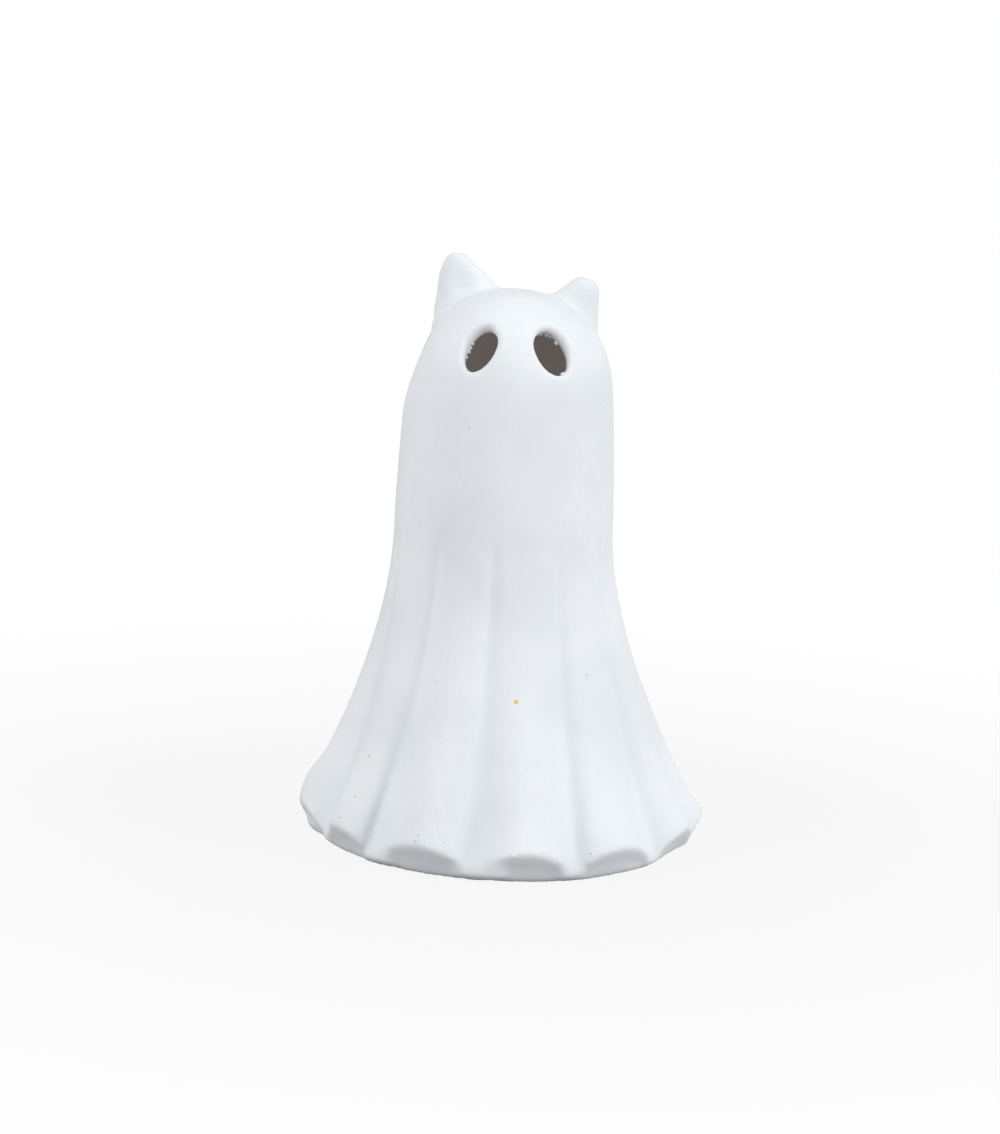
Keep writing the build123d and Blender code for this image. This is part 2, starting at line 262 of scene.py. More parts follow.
class FinishNodes:
    """Node tree of one finish, with short methods for the patterns that the finishes share."""

    def __init__(self, name: str) -> None:
        """Start a material with a shader, an output and object coordinates.

        Args:
            name: Name of the material.
        """
        self.material = bpy.data.materials.new(name)
        self.material.use_nodes = True
        self.tree = self.material.node_tree
        self.tree.nodes.clear()
        self.output = self.add("ShaderNodeOutputMaterial")
        self.shader = self.add("ShaderNodeBsdfPrincipled")
        self.feed(self.output.inputs["Surface"], self.shader.outputs["BSDF"])
        self.place = self.add("ShaderNodeTexCoord").outputs["Object"]

    def add(self, kind: str, **settings: object) -> Node:
        """Add a node and set its fields.

        Args:
            kind: Blender's node type.
            **settings: Values for the node's own fields.

        Returns:
            The new node.
        """
        node = self.tree.nodes.new(kind)
        for key, value in settings.items():
            setattr(node, key, value)
        return node

    def feed(self, socket: NodeSocket, value: object) -> None:
        """Link a socket to another one, or give it a value.

        Args:
            socket: The socket to feed.
            value: Another socket, a colour, a vector or a number.
        """
        if isinstance(value, NodeSocket):
            self.tree.links.new(value, socket)
        elif isinstance(value, tuple) and len(value) == 3 and socket.type == "RGBA":
            socket.default_value = (*value, 1.0)
        else:
            socket.default_value = value

    def wired(self, kind: str, output: str | int, inputs: Inputs, **settings: object) -> NodeSocket:
        """Add a node and feed its inputs.

        Args:
            kind: Blender's node type.
            output: Name or number of the output to hand over.
            inputs: What each input is fed with.
            **settings: Values for the node's own fields.

        Returns:
            The output's socket.
        """
        node = self.add(kind, **settings)
        for key, value in inputs.items():
            self.feed(node.inputs[key], value)
        return node.outputs[output]

    def set(self, **values: object) -> None:
        """Feed the shader's sockets, with underscores for the spaces in their names."""
        for key, value in values.items():
            self.feed(self.shader.inputs[key.replace("_", " ")], value)

    def along(self, axis: str) -> NodeSocket:
        """Object coordinate along one axis."""
        return self.wired("ShaderNodeSeparateXYZ", axis, {"Vector": self.place})

    def stretched(self, scale: Point) -> NodeSocket:
        """Object coordinates scaled apart along the axes."""
        return self.wired("ShaderNodeMapping", "Vector", {"Vector": self.place, "Scale": scale})

    def noise(self, scale: float, detail: float = 2.0, place: NodeSocket | None = None) -> NodeSocket:
        """Cloudy pattern from 0 to 1, by clouds to the metre, octaves and coordinates."""
        inputs = {"Vector": place or self.place, "Scale": scale, "Detail": detail}
        return self.wired("ShaderNodeTexNoise", "Fac", inputs)

    def span(self, value: NodeSocket, low: float, high: float, first: float, last: float) -> NodeSocket:
        """Ease a value from the range low to high into the range first to last."""
        inputs = {"Value": value, "From Min": low, "From Max": high, "To Min": first, "To Max": last}
        return self.wired("ShaderNodeMapRange", "Result", inputs, interpolation_type="SMOOTHSTEP")

    def patches(self, scale: float, detail: float, first: float, last: float) -> NodeSocket:
        """Cloudy pattern that runs from first to last."""
        return self.span(self.noise(scale, detail), *NOISE_RANGE, first, last)

    def reckon(self, operation: str, first: object, second: object = 0.0) -> NodeSocket:
        """Arithmetic on two values."""
        return self.wired("ShaderNodeMath", "Value", {0: first, 1: second}, operation=operation)

    def blend(self, share: object, first: object, second: object) -> NodeSocket:
        """Mix two colours by the share of the second."""
        inputs = {"Factor": share, COLOUR_A: first, COLOUR_B: second}
        return self.wired("ShaderNodeMix", COLOUR_RESULT, inputs, data_type="RGBA")

    def distance_to(self, point: Point) -> NodeSocket:
        """Distance from a point on the piece."""
        return self.wired("ShaderNodeVectorMath", "Value", {0: self.place, 1: point}, operation="DISTANCE")

    def cells(self, scale: float) -> tuple[NodeSocket, NodeSocket]:
        """Scattered points.

        Args:
            scale: Number of points to the metre.

        Returns:
            Distance to the nearest point in cells, and a chance value of that point.
        """
        reach = self.wired("ShaderNodeTexVoronoi", "Distance", {"Vector": self.place, "Scale": scale})
        chance = self.wired("ShaderNodeSeparateColor", "Red", {"Color": reach.node.outputs["Color"]})
        return reach, chance

    def relief(self, *layers: tuple[NodeSocket, float]) -> NodeSocket:
        """Stack bump layers.

        Args:
            *layers: Height pattern and its depth in metres for each layer.

        Returns:
            The normal's socket.
        """
        under: Inputs = {}
        for height, depth in layers:
            normal = self.wired("ShaderNodeBump", "Normal", {"Height": height, "Distance": depth, **under})
            under = {"Normal": normal}
        return normal


@dataclass(frozen=True)
class Fleck:
    """Coloured grain in the clay."""

    place: Point
    radius: float
    colour: Colour


@dataclass(frozen=True)
class Bisque:
    """Unglazed white clay with sanding marks, pinholes and a few coloured grains, and painted shade in the
    pits and on the walls of the hollow.
    """

    flecks: tuple[Fleck, ...]
    pinholes: tuple[Point, ...]
    light: Colour = (0.80, 0.831, 0.860)
    shade: Colour = (0.745, 0.776, 0.806)
    # Painted shade: the walls that face the hollow get this darker, browner colour for the little light that
    # reaches them
    inside: Colour = (0.60, 0.56, 0.54)
    # Painted shade in the pits and pinholes, which are only bumped and not modelled as holes
    painted_pit_shade: Colour = (0.36, 0.36, 0.37)
    roughness: Range = (0.71, 0.85)
    shine: float = 0.22
    cloud_scale: float = 38
    mottle_scale: float = 420
    mottle: float = 0.22
    grain_scale: float = 2300
    grain_depth: float = 0.05 * MM
    stroke_scale: Point = (700, 700, 70)
    stroke_depth: float = 0.04 * MM
    pit_scale: float = 230
    pit_chance: float = 0.82
    pit_size: float = 0.07
    pit_depth: float = 0.12 * MM
    pit_shade_strength: float = 0.42
    pinhole_radius: float = 0.34 * MM
    scattered_share: float = 0.55
    fleck_strength: float = 0.92

    def material(self) -> Material:
        """Build the material.

        Returns:
            The material.
        """
        nodes = FinishNodes("bisque")
        cloud = nodes.span(nodes.noise(self.cloud_scale, 4), 0.35, 0.65, 0.0, 1.0)
        colour = nodes.blend(cloud, self.shade, self.light)
        colour = nodes.blend(nodes.patches(self.mottle_scale, 3, 0.0, self.mottle), colour, self.shade)
        reach, chance = nodes.cells(self.pit_scale)
        size = nodes.span(chance, self.pit_chance, 1.0, 0.0, self.pit_size)
        scattered = nodes.reckon("LESS_THAN", reach, size)
        gaps = [nodes.distance_to(point) for point in self.pinholes]
        near = functools.reduce(lambda one, other: nodes.reckon("MINIMUM", one, other), gaps)
        placed = nodes.span(near, self.pinhole_radius * 0.55, self.pinhole_radius, 1.0, 0.0)
        faint = nodes.reckon("MULTIPLY", scattered, self.scattered_share)
        pits = nodes.reckon("MAXIMUM", faint, placed)
        # Painted shade: darken the pits and pinholes towards the dark grey
        colour = nodes.blend(nodes.reckon("MULTIPLY", pits, self.pit_shade_strength), colour, self.painted_pit_shade)
        for fleck in self.flecks:
            away = nodes.distance_to(fleck.place)
            share = nodes.span(away, fleck.radius * 0.5, fleck.radius, self.fleck_strength, 0.0)
            colour = nodes.blend(share, colour, fleck.colour)
        # Painted shade: blend the darker hollow colour in by the inside mark
        hollow = nodes.add("ShaderNodeAttribute", attribute_name="inside").outputs["Fac"]
        colour = nodes.blend(hollow, colour, self.inside)
        rough = nodes.patches(160, 3, *self.roughness)
        strokes = nodes.noise(1.0, 3, nodes.stretched(self.stroke_scale))
        grain = nodes.noise(self.grain_scale, 4)
        sunk = nodes.reckon("MULTIPLY", pits, -1.0)
        normal = nodes.relief((strokes, self.stroke_depth), (grain, self.grain_depth), (sunk, self.pit_depth))
        nodes.set(Base_Color=colour, Roughness=rough, Normal=normal, Specular_IOR_Level=self.shine)
        return nodes.material


@dataclass(frozen=True)
class MouldedPlastic:
    """Moulded plastic with a fine spark texture."""

    name: str
    colour: Colour
    shade: Colour
    roughness: Range = (0.42, 0.54)
    grain: float = 0.02 * MM
    glow: float = 0.0
    glow_depth: float = 1.5 * MM
    grain_scale: float = 4200

    def material(self) -> Material:
        """Build the material.

        Returns:
            The material.
        """
        nodes = FinishNodes(self.name)
        cloud = nodes.span(nodes.noise(90, 3), 0.35, 0.65, 0.0, 1.0)
        rough = nodes.patches(300, 2, *self.roughness)
        spark = nodes.noise(self.grain_scale, 2)
        nodes.set(
            Base_Color=nodes.blend(cloud, self.shade, self.colour),
            Roughness=rough,
            Normal=nodes.relief((spark, self.grain)),
        )
        if self.glow:
            nodes.set(Subsurface_Weight=self.glow, Subsurface_Scale=self.glow_depth)
            nodes.set(Subsurface_Radius=(1.0, 0.8, 0.6))
        return nodes.material


@dataclass(frozen=True)
class FrostedLens:
    """Frosted warm plastic that pales towards its foot."""

    foot: float
    tip: float
    pale: Colour = (0.90, 0.74, 0.48)
    deep: Colour = (0.90, 0.50, 0.16)
    streak_scale: Point = (500, 500, 60)
    streak: float = 0.12
    frost_scale: float = 2600
    frost_depth: float = 0.03 * MM

    def material(self) -> Material:
        """Build the material.

        Returns:
            The material.
        """
        nodes = FinishNodes("flame_amber")
        rise = nodes.span(nodes.along("Z"), self.foot, self.tip, 0.0, 1.0)
        lines = nodes.noise(1.0, 2, nodes.stretched(self.streak_scale))
        streak = nodes.span(lines, *NOISE_RANGE, -self.streak, self.streak)
        colour = nodes.blend(nodes.reckon("ADD", rise, streak), self.pale, self.deep)
        frost = nodes.relief((nodes.noise(self.frost_scale, 3), self.frost_depth))
        nodes.set(Base_Color=colour, Roughness=nodes.patches(350, 2, 0.36, 0.5), Normal=frost)
        nodes.set(Transmission_Weight=0.45, IOR=1.46, Subsurface_Weight=0.3, Subsurface_Scale=2 * MM)
        return nodes.material


@dataclass(frozen=True)
class ClearLamp:
    """Clear pale epoxy with a faint warm core."""

    colour: Colour = (0.95, 0.90, 0.72)
    core: Colour = (0.90, 0.74, 0.40)

    def material(self) -> Material:
        """Build the material.

        Returns:
            The material.
        """
        nodes = FinishNodes("lamp_clear")
        colour = nodes.blend(nodes.patches(600, 2, 0.0, 1.0), self.colour, self.core)
        nodes.set(Base_Color=colour, Roughness=nodes.patches(900, 2, 0.04, 0.12))
        nodes.set(Transmission_Weight=0.8, IOR=1.52)
        return nodes.material


@dataclass(frozen=True)
class BrushedMetal:
    """Metal with fine lines, straight or round the axis."""

    name: str
    colour: Colour
    shade: Colour
    roughness: Range
    lines: BrushLines
    round_scale: float = 6000
    straight_scale: Point = (5200, 300, 300)
    line_depth: float = 0.01 * MM

    def material(self) -> Material:
        """Build the material.

        Returns:
            The material.
        """
        nodes = FinishNodes(self.name)
        if self.lines is BrushLines.CIRCULAR:
            sides = [nodes.reckon("ABSOLUTE", nodes.along(axis)) for axis in ("X", "Y")]
            squares = [nodes.reckon("POWER", side, 2.0) for side in sides]
            radius = nodes.reckon("SQRT", nodes.reckon("ADD", *squares))
            place = nodes.wired("ShaderNodeCombineXYZ", "Vector", {"X": radius})
            lines = nodes.noise(self.round_scale, 3, place)
        else:
            lines = nodes.noise(1.0, 3, nodes.stretched(self.straight_scale))
        tone = nodes.span(lines, *NOISE_RANGE, 0.0, 1.0)
        rough = nodes.span(lines, *NOISE_RANGE, *self.roughness)
        nodes.set(Base_Color=nodes.blend(tone, self.shade, self.colour), Roughness=rough, Metallic=1.0)
        nodes.set(Normal=nodes.relief((lines, self.line_depth)))
        return nodes.material


def dress(obj: Object, material: Material, node: str, body: str, angle: float) -> None:
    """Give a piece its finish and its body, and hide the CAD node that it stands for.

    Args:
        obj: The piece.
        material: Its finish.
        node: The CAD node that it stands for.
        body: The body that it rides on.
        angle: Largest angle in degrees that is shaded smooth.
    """
    obj.data.materials.clear()
    obj.data.materials.append(material)
    pick(obj)
    bpy.ops.object.shade_smooth_by_angle(angle=math.radians(angle))
    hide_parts(node)
    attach(obj, body)
    triangles = sum(len(face.vertices) - 2 for face in obj.data.polygons)
    log.info("%s: %d triangles on %s", obj.name, triangles, body)


# Sub-assemblies


@dataclass(frozen=True)
class Nudge:
    """Push of a thumb on the clay: a move that fades out at a reach from its middle."""

    middle: Point
    reach: float
    move: Point


@dataclass(frozen=True)
class Crumb:
    """Grain of clay left on the wall of an eye hole, at a clock angle in degrees and a depth."""

    side: Side
    clock: float
    depth: float
    size: float


@dataclass(frozen=True)
class Valley:
    """Valley of the drape: its turns at hem and waist, the reaches of its tongue and its groove."""

    hem: float
    waist: float
    left: float = 3.0 * MM
    right: float = 3.0 * MM
    groove: float = 0.35 * MM


@dataclass(frozen=True)
class RimFlare:
    """Outer edge of an eye hole cut wider to one side, at a clock angle in degrees."""

    side: Side
    clock: float
    width: float


@dataclass(frozen=True)
class EyeHole:
    """Place and shape of the slanted oval holes in the brow."""

    axis_x: float = -2.2 * MM
    brow_radius: float = 23.1 * MM
    height: float = 128.8 * MM
    turn: float = 21.8
    face_turn: float = 3.6
    bore_turn: float = 2.0
    bore_lift: float = 18.0
    half_length: float = 6.0 * MM
    left_half_width: float = 3.1 * MM
    right_half_width: float = 3.8 * MM
    slant: float = 28.0
    brow_slope: float = 32.0

    def half_width(self, side: Side) -> float:
        """Half of the short way of a hole."""
        return self.left_half_width if side is Side.LEFT else self.right_half_width

    def brow_normal(self, side: Side) -> Vector:
        """Way out of the brow at a hole."""
        return heading(side.value * self.turn + self.face_turn, self.brow_slope)

    def axes(self, side: Side) -> tuple[Vector, ...]:
        """Frame of a hole on the brow.

        Args:
            side: Which eye.

        Returns:
            Its middle, and unit vectors along its bore outwards, its short way and its long way.
        """
        bore = side.value * self.bore_turn + self.face_turn
        slant = math.radians(side.value * self.slant)
        middle = Vector((self.axis_x, 0.0, self.height))
        middle += self.brow_radius * heading(side.value * self.turn + self.face_turn, 0.0)
        out = heading(bore, self.bore_lift)
        across = heading(bore + 90, 0.0)
        up = out.cross(across)
        short = across * math.cos(slant) + up * math.sin(slant)
        long = up * math.cos(slant) - across * math.sin(slant)
        return middle, out, short, long

    def wall_point(self, side: Side, clock: float, depth: float) -> Vector:
        """Point on the wall of a hole.

        Args:
            side: Which eye.
            clock: Angle round the hole in degrees, 0 to the viewer's right and 90 up.
            depth: Way in along the bore.

        Returns:
            The point in the row frame.
        """
        middle, out, short, long = self.axes(side)
        angle = math.radians(clock - side.value * self.slant)
        oval = short * self.half_width(side) * math.cos(angle) + long * self.half_length * math.sin(angle)
        return middle - out * depth + oval


@dataclass
class Ghost:
    """Slip-cast ghost: soft edges, uneven hand-worked walls and crumbs in the eye holes."""

    # Wall
    voxel: float = 0.74 * MM
    soft_passes: int = 4
    wave_size: float = 26 * MM
    wave_depth: float = 0.3 * MM
    dent_size: float = 7 * MM
    dent_depth: float = 0.12 * MM
    nudges: tuple[Nudge, ...] = (
        Nudge(mm(-24, -1, 126), 17 * MM, mm(2.2, 0, -0.3)),
        Nudge(mm(-20, 4.5, 143), 9 * MM, mm(-1.2, 0, 0)),
        Nudge(mm(-49, -5, 15), 9 * MM, mm(-1.7, 0, 0)),
        Nudge(mm(-48, -5, 3.5), 8 * MM, mm(-1.9, 0, 0)),
        Nudge(mm(49, -8, 4), 10 * MM, mm(1.8, 0, 0)),
        Nudge(mm(50.5, 0.5, 6.5), 8 * MM, mm(2.1, 0, 0)),
        Nudge(mm(-46, -9, 1.5), 6 * MM, mm(-1.8, 0, 0)),
        Nudge(mm(-21, 4.5, 134.5), 6 * MM, mm(-1.5, 0, 0)),
    )
    # Ears
    ear_root: float = 134 * MM
    ear_fade: float = 5 * MM
    ear_passes: int = 16
    crown_half: float = 8 * MM
    # Eyes
    eye: EyeHole = EyeHole()
    crumbs: tuple[Crumb, ...] = (
        Crumb(Side.LEFT, 140, *mm(5.2, 0.42)),
        Crumb(Side.LEFT, 153, *mm(5.0, 0.52)),
        Crumb(Side.LEFT, 165, *mm(4.8, 0.60)),
        Crumb(Side.LEFT, 178, *mm(4.2, 0.45)),
        Crumb(Side.RIGHT, 104, *mm(6.0, 0.45)),
        Crumb(Side.RIGHT, 84, *mm(6.2, 0.45)),
        Crumb(Side.RIGHT, 70, *mm(6.3, 0.40)),
        Crumb(Side.RIGHT, 50, *mm(6.2, 0.75)),
        Crumb(Side.RIGHT, -56, *mm(2.2, 0.65)),
    )
    crumb_rough: float = 0.35
    flares: tuple[RimFlare, ...] = (
        RimFlare(Side.LEFT, 126, 1.9 * MM),
        RimFlare(Side.RIGHT, 55, 1.1 * MM),
    )
    rim_reach: float = 1.3
    rim_start: float = 1.3
    rim_wall: float = 2.6 * MM
    # Drape
    waist: float = 80 * MM
    lean: float = -2.2 * MM
    valleys: tuple[Valley, ...] = (
        Valley(-66, -72, *mm(1.0, 1.0)),
        Valley(-41, -35, *mm(1.5, 4.5, 0.7)),
        Valley(-7, -4, *mm(3.0, 5.0, 0.6)),
        Valley(24, 31, *mm(3.0, 1.5, 0.4)),
        Valley(55, 59, *mm(1.5, 2.0)),
        Valley(82, 86, left=2.0 * MM),
        Valley(108, 111),
        Valley(134, 136),
        Valley(161, 162),
        Valley(188, 188),
        Valley(214, 213),
        Valley(240, 238),
        Valley(266, 263),
    )
    crease_top: float = 84.5 * MM
    crease_width: float = 1.45 * MM
    crease_fade: float = 9 * MM
    crease_foot: float = 0.2
    crease_span: float = 0.6
    # Hem
    hem_fill: float = 1.2 * MM
    hem_level: float = 0.6
    hem_width: float = 4.5 * MM
    hem_edge: float = 10.0 * MM
    hem_fade: float = 3 * MM
    hem_passes: int = 7
    lip_facing: float = 0.1
    lip_tilt: float = -0.25
    undercut: float = 0.7
    tongue_foot: float = 2.4 * MM
    tongue_fade: float = 1.9
    arch_foot: float = 0.9 * MM
    arch_least: float = 2 * MM
    arch_full: float = 4 * MM
    arch_share: float = 0.85
    foot_height: float = 0.25 * MM
    foot_squash: float = 0.2
    # Hollow
    inner_share: float = 0.1
    hollow_middle: float = 110 * MM
    hollow_top: float = 137.5 * MM
    hollow_turn: float = 0.15
    hollow_fade: float = 0.3
    # Marks on the clay
    flecks: tuple[Fleck, ...] = (
        Fleck(mm(2.9, -35.2, 43.3), 0.75 * MM, (0.82, 0.52, 0.01)),
        Fleck(mm(-33.2, -27.5, 26.0), 0.42 * MM, (0.62, 0.58, 0.22)),
        Fleck(mm(-36.2, -30.7, 16.1), 0.40 * MM, (0.60, 0.57, 0.26)),
        Fleck(mm(-39.9, -31.3, 10.7), 0.42 * MM, (0.60, 0.57, 0.26)),
        Fleck(mm(-15.2, -36.5, 33.9), 0.34 * MM, (0.66, 0.63, 0.42)),
    )
    pinholes: tuple[Point, ...] = (
        mm(-27.3, -42.2, 7.8),
        mm(-19.7, -46.3, 11.1),
        mm(-20.3, -46.9, 9.7),
        mm(-15.7, -44.3, 15.0),
        mm(36.4, -26.6, 14.2),
        mm(17.9, -41.9, 8.0),
        mm(22.9, -43.1, 7.5),
        mm(32.0, -38.1, 10.1),
        mm(15.5, -36.4, 23.6),
        mm(20.2, -25.9, 48.8),
        mm(16.1, -5.0, 134.2),
        mm(-11.6, -24.9, 109.7),
        mm(22.5, -8.8, 114.8),
    )

    def build(self) -> None:
        """Model the shell and put it on its body."""
        shell = merged_copy("ghost_shell", "ghost_bisque")
        finish_with(shell, "REMESH", mode="VOXEL", voxel_size=self.voxel, use_smooth_shade=True)
        finish_with(shell, "SMOOTH", factor=0.5, iterations=self.soft_passes)
        self.soften_ears(shell)
        self.push(shell)
        self.flare_rims(shell)
        self.set_tongues(shell)
        self.soften_hem(shell)
        self.crease(shell)
        self.uneven(shell, "hand_waves", self.wave_size, self.wave_depth)
        self.uneven(shell, "hand_dents", self.dent_size, self.dent_depth)
        self.stand(shell)
        self.add_crumbs(shell)
        self.thin_hollow(shell)
        finish = Bisque(self.flecks, self.pinholes)
        dress(shell, finish.material(), "ghost_shell", "ghost", 180)

    def add_crumbs(self, shell: Object) -> None:
        """Stick grains of clay to the walls of the eye holes.

        Args:
            shell: The shell.
        """
        grains = []
        rows = points_of(shell)
        for number, crumb in enumerate(self.crumbs):
            aim = np.array(self.eye.wall_point(crumb.side, crumb.clock, crumb.depth))
            place = rows[np.linalg.norm(rows - aim, axis=1).argmin()]
            bpy.ops.mesh.primitive_ico_sphere_add(subdivisions=2, radius=crumb.size, location=place)
            grain = bpy.context.object
            with editing(grain):
                bpy.ops.transform.vertex_random(offset=crumb.size * self.crumb_rough, seed=number)
            grains.append(grain)
        pick(shell)
        for grain in grains:
            grain.select_set(True)
        bpy.ops.object.join()

    def soften_ears(self, shell: Object) -> None:
        """Rub the edges of the ears rounder than the rest.

        Args:
            shell: The shell.
        """
        rows = points_of(shell)
        share = np.clip((rows[:, 2] - self.ear_root) / self.ear_fade, 0, 1)
        share *= np.abs(rows[:, 0] - self.lean) > self.crown_half
        self.work_on(shell, share, "SMOOTH", factor=0.5, iterations=self.ear_passes)

    def soften_hem(self, shell: Object) -> None:
        """Rub the tongues and arches of the hem into one another."""
        share = np.clip((self.hem_edge - points_of(shell)[:, 2]) / self.hem_fade, 0, 1)
        self.work_on(shell, share, "SMOOTH", factor=0.5, iterations=self.hem_passes)

    def work_on(self, shell: Object, share: np.ndarray, kind: str, **settings: object) -> None:
        """Apply a modifier to a part of the shell.

        Args:
            shell: The shell.
            share: How much of it each point gets.
            kind: Blender's name of the modifier type.
            **settings: Values for the modifier's own fields.
        """
        group = shell.vertex_groups.new(name="part")
        for index in np.flatnonzero(share > 0):
            group.add([int(index)], float(share[index]), "REPLACE")
        finish_with(shell, kind, vertex_group="part", **settings)
        shell.vertex_groups.clear()

    def push(self, shell: Object) -> None:
        """Move the clay where a hand leaned on it.

        Args:
            shell: The shell.
        """
        rows = points_of(shell)
        for nudge in self.nudges:
            away = np.linalg.norm(rows - nudge.middle, axis=1) / nudge.reach
            share = np.clip(1 - away**2, 0, 1) ** 2
            rows += share[:, None] * nudge.move
        place_points(shell, rows)

    def flare_rims(self, shell: Object) -> None:
        """Draw the outer edge of each eye hole aside, so that its wall shows.

        Args:
            shell: The shell.
        """
        rows = points_of(shell)
        for flare in self.flares:
            middle, _, short, long = (np.array(axis) for axis in self.eye.axes(flare.side))
            normal = np.array(self.eye.brow_normal(flare.side))
            gap = rows - middle
            aside, along = gap @ short, gap @ long
            ring = np.hypot(aside / self.eye.half_width(flare.side), along / self.eye.half_length)
            aim = math.radians(flare.clock - flare.side.value * self.eye.slant)
            share = np.sqrt(np.clip(np.cos(np.arctan2(along, aside) - aim), 0, 1))
            share *= smooth_step(1 - np.maximum(ring - 1, 0) / self.rim_reach)
            share *= np.clip(self.rim_start + gap @ normal / self.rim_wall, 0, 1)
            move = short * math.cos(aim) + long * math.sin(aim)
            move -= normal * (move @ normal)
            rows += (share * flare.width)[:, None] * move
        place_points(shell, rows)

    def crease(self, shell: Object) -> None:
        """Draw a narrow groove down each valley of the drape, and fill the valley softly near the hem.

        Args:
            shell: The shell.
        """
        rows = points_of(shell)
        level, out, angle, radius = self.round_about(rows)
        facing = (points_of(shell, "normal")[:, :2] * out).sum(1) > 0
        groove = smooth_step((self.crease_top - rows[:, 2]) / self.crease_fade)
        groove *= smooth_step((level - self.crease_foot) / self.crease_span) * facing
        fill = np.clip(1 - level / self.hem_level, 0, 1) * facing * self.hem_fill
        for valley in self.valleys:
            aside = radius * np.radians(self.turn_from(valley, angle, level))
            share = valley.groove * groove * np.exp(-((aside / self.crease_width) ** 2))
            share -= fill * np.exp(-((aside / self.hem_width) ** 2))
            rows[:, :2] -= share[:, None] * out
        place_points(shell, rows)

    def set_tongues(self, shell: Object) -> None:
        """Carry the wall down to the table beside each valley, so that the hem arches between tongues.

        Args:
            shell: The shell.
        """
        rows = points_of(shell)
        level, out, angle, radius = self.round_about(rows)
        normals = points_of(shell, "normal")
        under = (rows[:, 2] < self.hem_edge) & ((normals[:, :2] * out).sum(1) > self.lip_facing)
        lip = under & (normals[:, 2] < self.lip_tilt)
        edges = np.zeros(360)
        np.maximum.at(edges, np.floor(angle[lip] + 180).astype(int) % 360, rows[lip, 2])
        edges = np.mean([np.roll(edges, step) for step in range(-2, 3)], axis=0)
        edge = np.interp(angle, np.arange(360) - 179.5, edges, period=360)
        share = np.zeros(len(rows))
        for valley in self.valleys:
            aside = radius * np.radians(self.turn_from(valley, angle, level))
            reach = np.where(aside > 0, valley.right, valley.left)
            share = np.maximum(share, np.clip(self.tongue_fade - np.abs(aside) / reach, 0, 1))
        share = smooth_step(share)
        fill = share * smooth_step(rows[:, 2] / self.tongue_foot) * np.maximum(edge - rows[:, 2], 0)
        fill *= self.undercut
        arch = np.maximum(edge - self.arch_least, TINY)
        foot = (1 - share) * smooth_step(1 - rows[:, 2] / (self.arch_share * arch))
        fill += foot * np.minimum(arch / self.arch_full, 1) * self.arch_foot
        rows[:, :2] += (fill * under)[:, None] * out
        place_points(shell, rows)

    def round_about(self, rows: np.ndarray) -> tuple[np.ndarray, ...]:
        """Place of points round the leaning axis of the skirt.

        Args:
            rows: The points.

        Returns:
            Their share of the waist height, their unit ways out, turns in degrees from the front and radii.
        """
        level = np.clip(rows[:, 2] / self.waist, 0, 1)
        out = np.column_stack([rows[:, 0] - self.lean * level, rows[:, 1]])
        radius = np.maximum(np.hypot(out[:, 0], out[:, 1]), TINY)
        return level, out / radius[:, None], np.degrees(np.arctan2(out[:, 0], -out[:, 1])), radius

    def turn_from(self, valley: Valley, angle: np.ndarray, level: np.ndarray) -> np.ndarray:
        """Turns of points away from a valley, from -180 to 180 degrees."""
        return (angle - valley.hem - (valley.waist - valley.hem) * level + 180) % 360 - 180

    def uneven(self, shell: Object, name: str, size: float, depth: float) -> None:
        """Give the walls slow waves.

        Args:
            shell: The shell.
            name: Name of the wave pattern.
            size: Length of a wave.
            depth: Height of a wave.
        """
        clouds = bpy.data.textures.new(name, "CLOUDS")
        clouds.noise_scale = size
        clouds.noise_depth = 2
        finish_with(shell, "DISPLACE", texture=clouds, strength=depth, mid_level=0.5)

    def stand(self, shell: Object) -> None:
        """Rub the foot flat on the table.

        Args:
            shell: The shell.
        """
        rows = points_of(shell)
        low = rows[:, 2] < self.foot_height
        rows[low, 2] = np.maximum(rows[low, 2] * self.foot_squash, 0.0)
        place_points(shell, rows)

    def thin_hollow(self, shell: Object) -> None:
        """Keep fewer faces in the hollow than outside.

        Args:
            shell: The shell.
        """
        hidden = self.mark_inside(shell) > 0.5
        ratio = 1 - float(hidden.mean()) * (1 - self.inner_share)
        self.work_on(shell, hidden, "DECIMATE", ratio=ratio)
        self.mark_inside(shell)

    def mark_inside(self, shell: Object) -> np.ndarray:
        """Write how far each point faces the hollow, the share of painted shade that the bisque gives it.

        Args:
            shell: The shell.

        Returns:
            One value for each point, 0 outside and 1 in the hollow.
        """
        rows = points_of(shell)
        out = rows.copy()
        out[:, 2] -= np.minimum(rows[:, 2], self.hollow_middle)
        out /= np.maximum(np.linalg.norm(out, axis=1), TINY)[:, None]
        facing = (points_of(shell, "normal") * out).sum(1)
        inside = np.clip((-facing - self.hollow_turn) / self.hollow_fade, 0.0, 1.0)
        inside[rows[:, 2] > self.hollow_top] = 0.0
        mesh = shell.data
        if "inside" in mesh.attributes:
            mesh.attributes.remove(mesh.attributes["inside"])
        mesh.attributes.new("inside", "FLOAT", "POINT").data.foreach_set("value", inside)
        return inside


